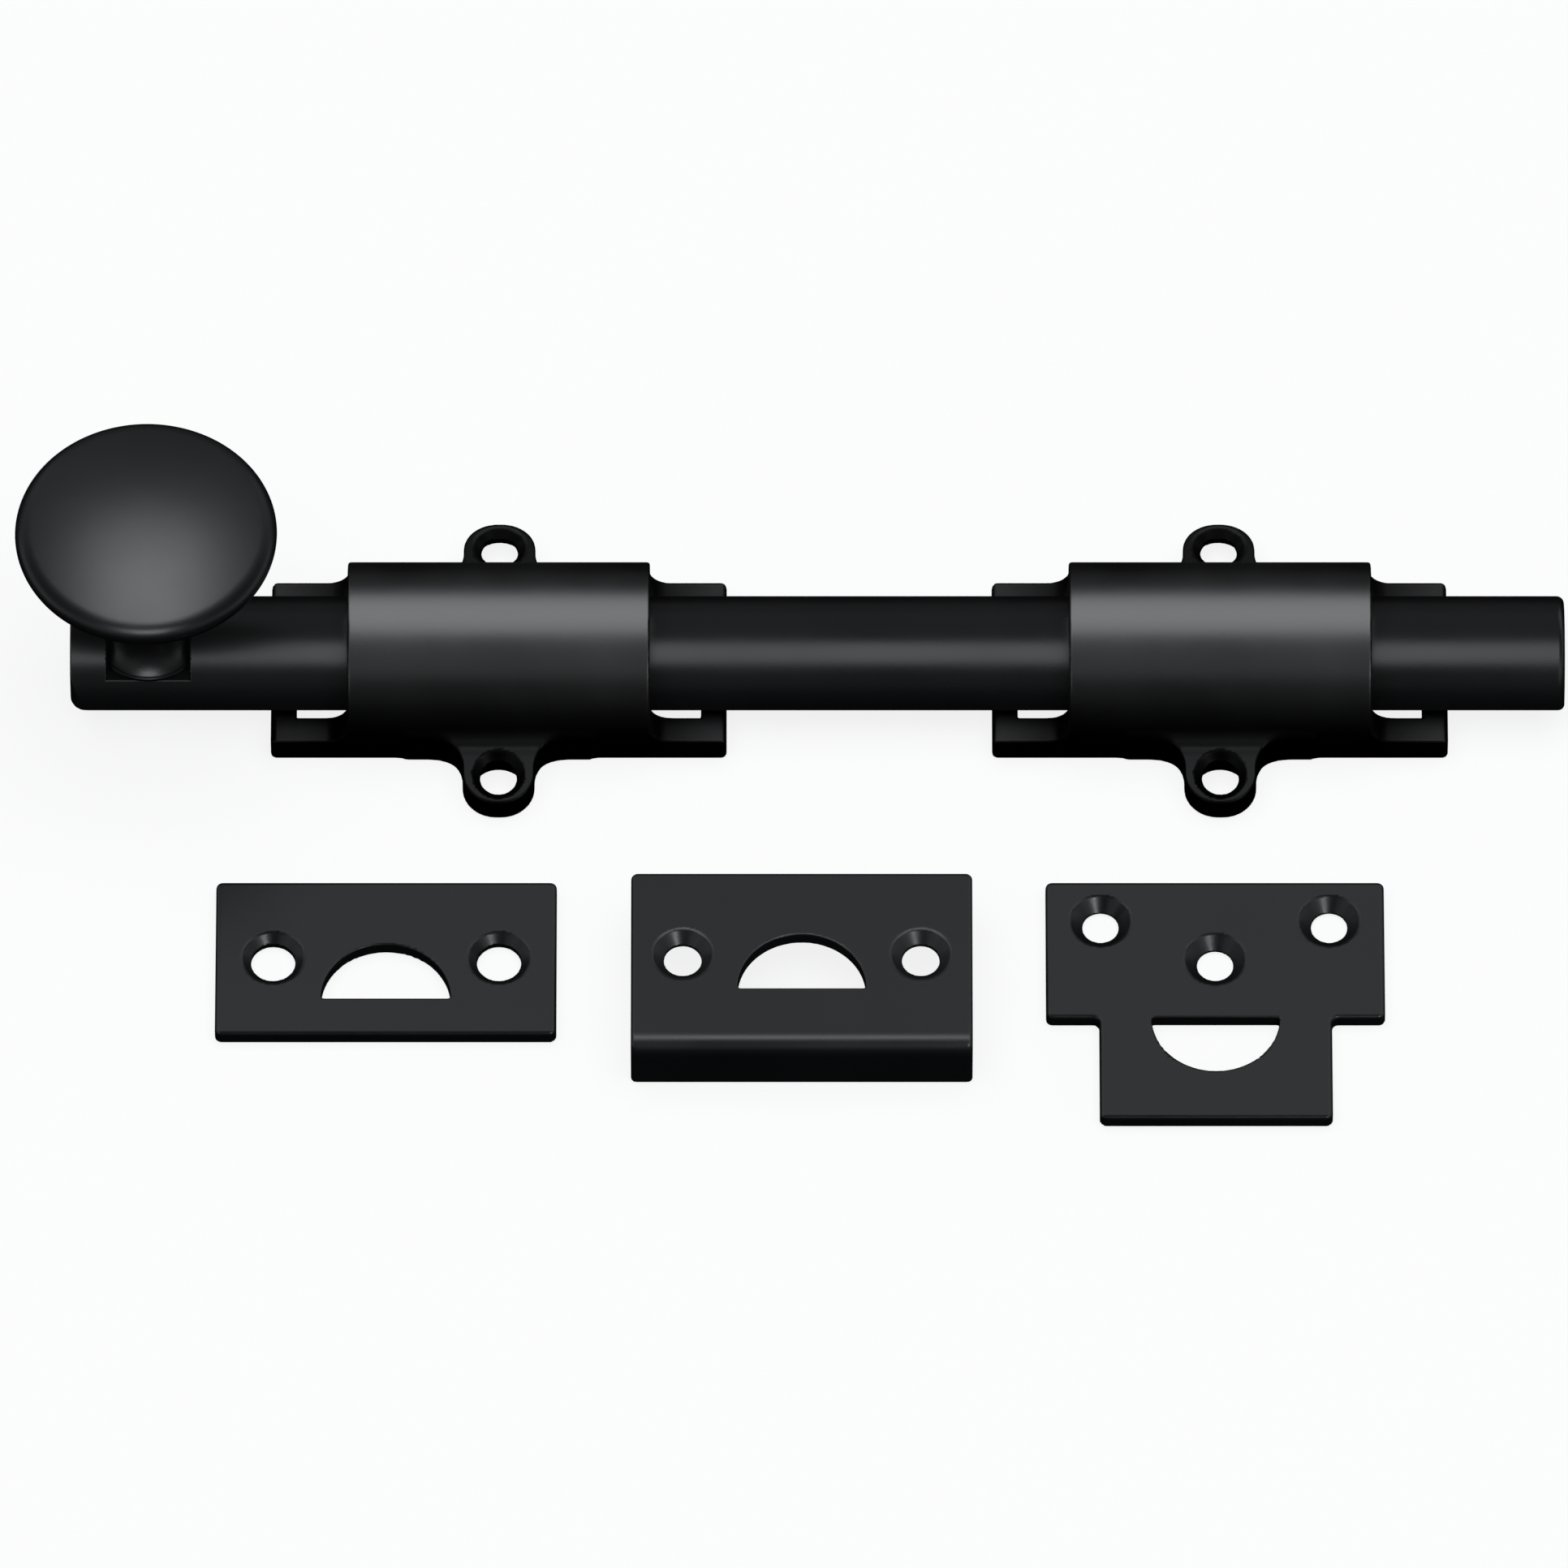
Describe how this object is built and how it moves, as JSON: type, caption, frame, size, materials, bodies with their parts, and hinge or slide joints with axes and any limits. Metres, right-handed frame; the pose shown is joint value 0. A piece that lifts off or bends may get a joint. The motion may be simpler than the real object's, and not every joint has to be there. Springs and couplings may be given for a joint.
{
  "type": "surface bolt",
  "caption": "Half-round surface door bolt with a round knob, sliding through cast guides, with loose flat, angle and T-shaped strikes.",
  "frame": {"origin": "middle of the end pad of the front guide, on the face that is screwed to the door", "axes": "+X the way the bolt is thrown, +Y up the door across the bolt, +Z out of the door towards the knob"},
  "size_m": [0.2104, 0.0962, 0.0387],
  "materials": {
    "bolt_black": "smooth satin black coat",
    "guide_black": "satin black coat over a casting",
    "strike_black": "flat satin black coat",
    "plain_steel": "plain turned steel",
    "spring_steel": "bare tempered spring steel"
  },
  "bodies": {
    "root": {"front_guide": "guide_black", "rear_guide": "guide_black", "front_spring": "spring_steel", "rear_spring": "spring_steel", "flat_strike": "strike_black", "angle_strike": "strike_black", "tee_strike": "strike_black"},
    "bolt": {"bolt_bar": "bolt_black", "knob": "bolt_black", "knob_screw": "plain_steel", "stop_pin": "plain_steel"}
  },
  "joints": [
    {"name": "bolt_slide", "type": "slide", "parent": "root", "child": "bolt", "axis": [1, 0, 0], "range_m": [-0.0158, 0.0165]}
  ]
}
